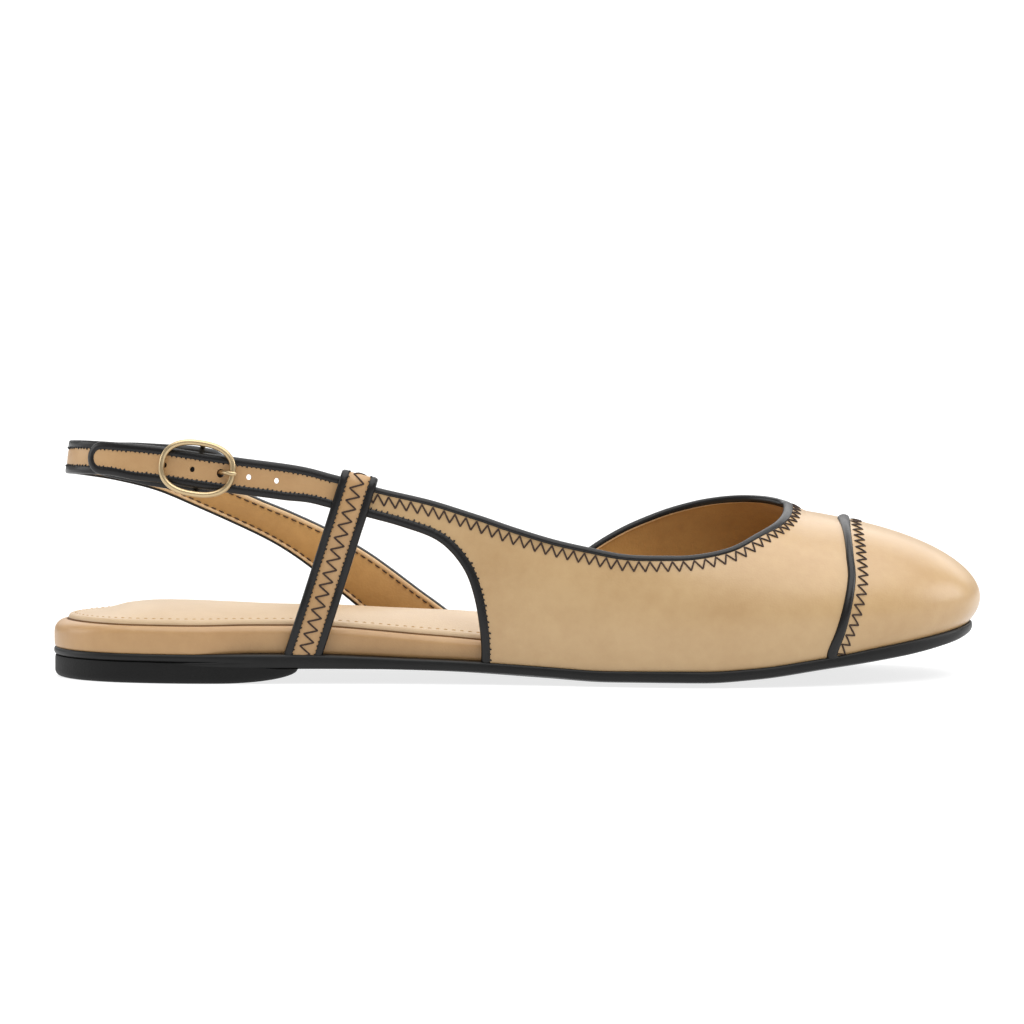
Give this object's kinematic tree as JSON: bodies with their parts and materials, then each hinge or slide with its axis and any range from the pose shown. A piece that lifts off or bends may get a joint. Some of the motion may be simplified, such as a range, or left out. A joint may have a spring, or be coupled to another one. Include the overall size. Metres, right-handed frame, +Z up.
{
  "type": "sling back flat",
  "caption": "Women's flat shoe with a closed cap toe, open sides, a sling strap round the heel, a loop stay and an oval buckle.",
  "frame": {"origin": "bottom centre of the bounding box, on the floor under the middle of the shoe", "axes": "+X along the shoe to the toe, -Y to the outer side of the foot, +Z up"},
  "size_m": [0.2496, 0.0814, 0.067],
  "materials": {
    "black_rubber": "satin black outsole and heel",
    "tan_leather": "smooth tan calf, soft gloss",
    "tan_lining": "golden tan lining leather, satin",
    "black_leather": "glossy black edge binding",
    "pale_gold": "polished pale gold"
  },
  "bodies": {
    "root": {"outsole": "black_rubber", "heel_block": "black_rubber", "footbed": "tan_leather", "insole_sock": "tan_lining", "upper": "tan_leather", "toe_cap": "tan_leather", "toe_seam_piping": "black_leather", "topline_binding": "black_leather", "cutout_binding": "black_leather", "loop_strap": "tan_leather", "loop_binding_back": "black_leather", "loop_binding_front": "black_leather", "sling_strap": "tan_leather", "sling_binding_top": "black_leather", "sling_binding_bottom": "black_leather", "billet_strap": "tan_leather", "billet_binding": "black_leather", "buckle_frame": "pale_gold", "buckle_prong": "pale_gold"}
  },
  "joints": []
}
